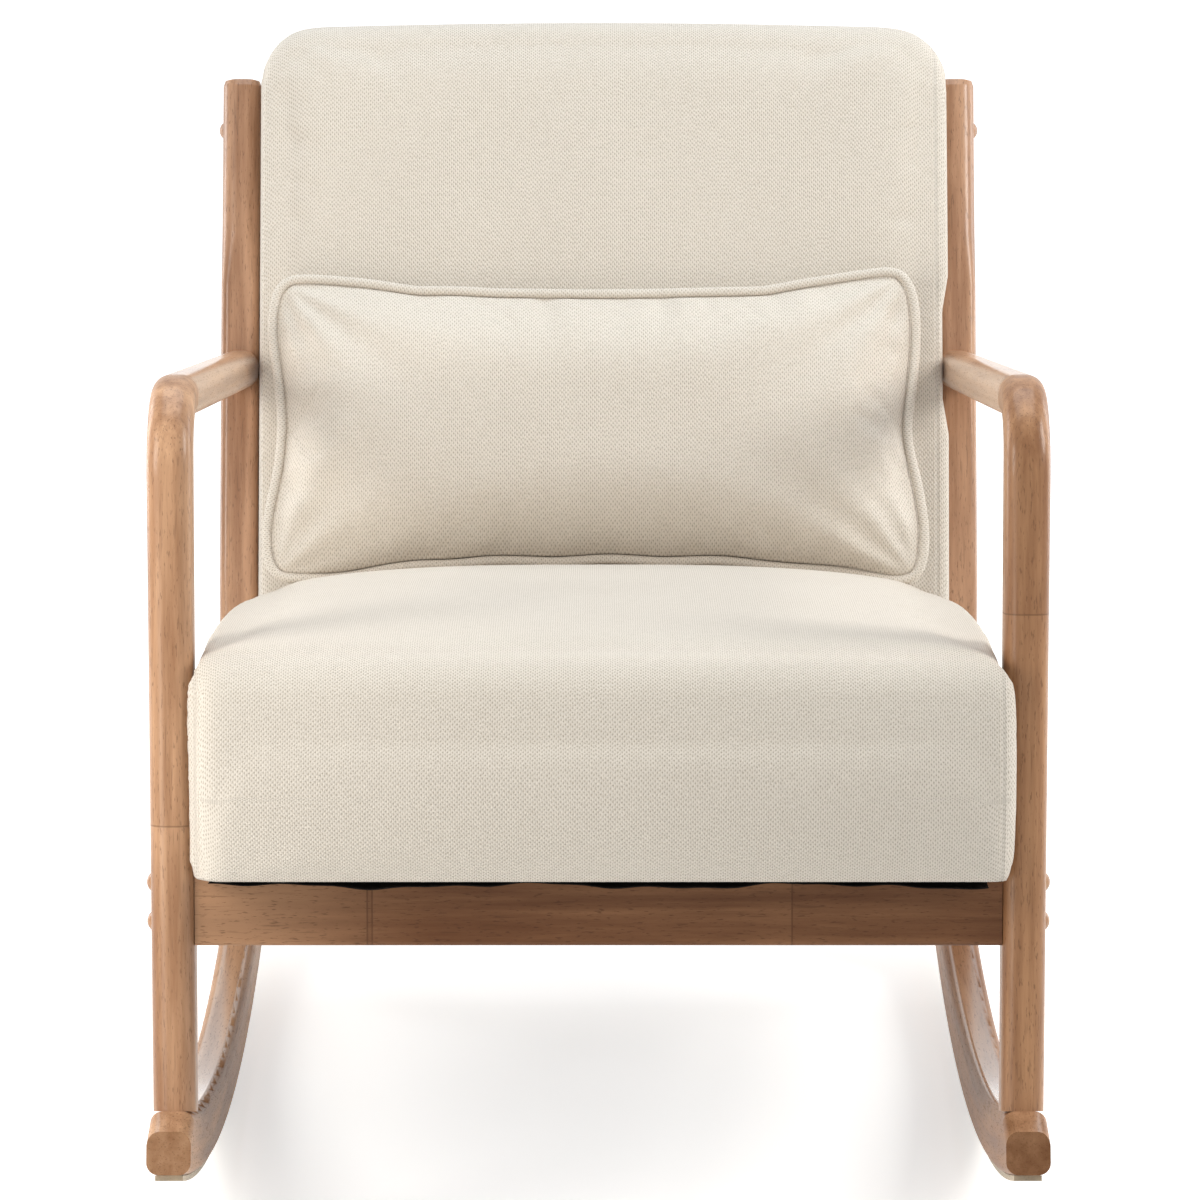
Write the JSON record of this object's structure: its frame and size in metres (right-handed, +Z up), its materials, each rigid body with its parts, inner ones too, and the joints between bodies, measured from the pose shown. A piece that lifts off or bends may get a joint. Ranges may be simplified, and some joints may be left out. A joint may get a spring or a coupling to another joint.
{
  "type": "upholstered rocking chair",
  "caption": "Wooden-framed rocking chair on bow rockers, with an upholstered seat and back and a loose piped lumbar pillow.",
  "frame": {"origin": "on the floor, midway between the two rockers' contacts in the rest pose", "axes": "+Z up, +X to the right when looking at the chair's front, -Y the way the sitter faces"},
  "size_m": [0.6572, 0.9398, 0.8101],
  "materials": {
    "frame_wood": "satin",
    "inner_wood": "matte",
    "upholstery": "matte",
    "filling": "matte",
    "webbing": "matte",
    "dust_cloth": "matte",
    "floor_strip": "satin",
    "steel": "satin"
  },
  "bodies": {
    "chair": {"arm_dowels": "inner_wood", "armrest_left": "frame_wood", "armrest_right": "frame_wood", "back_board_bottom": "inner_wood", "back_board_top": "inner_wood", "back_bolts": "steel", "back_caps": "frame_wood", "back_cover": "upholstery", "back_foam": "filling", "back_nuts": "steel", "back_panel": "upholstery", "back_stile_left": "inner_wood", "back_stile_right": "inner_wood", "back_webbing": "webbing", "bracket_screws": "steel", "foot_dowels": "inner_wood", "front_leg_left": "frame_wood", "front_leg_right": "frame_wood", "front_rail": "frame_wood", "front_rail_bolts": "steel", "front_rail_caps": "frame_wood", "front_rail_nuts": "steel", "rear_post_left": "frame_wood", "rear_post_right": "frame_wood", "rear_rail": "frame_wood", "rear_rail_bolts": "steel", "rear_rail_caps": "frame_wood", "rear_rail_nuts": "steel", "rocker_left": "frame_wood", "rocker_right": "frame_wood", "rocker_strip_left": "floor_strip", "rocker_strip_right": "floor_strip", "seat_board_front": "inner_wood", "seat_board_left": "inner_wood", "seat_board_rear": "inner_wood", "seat_board_right": "inner_wood", "seat_brackets": "steel", "seat_cover": "upholstery", "seat_cross_webbing": "webbing", "seat_dust_cover": "dust_cloth", "seat_foam": "filling", "seat_long_webbing": "webbing", "side_rail_left": "frame_wood", "side_rail_right": "frame_wood"},
    "pillow": {"pillow_cover": "upholstery", "pillow_filling": "filling", "pillow_piping": "upholstery"}
  },
  "joints": [
    {"name": "pillow_lift", "type": "slide", "parent": "chair", "child": "pillow", "axis": [0, 0, 1], "range_m": [0, 0.25]}
  ]
}
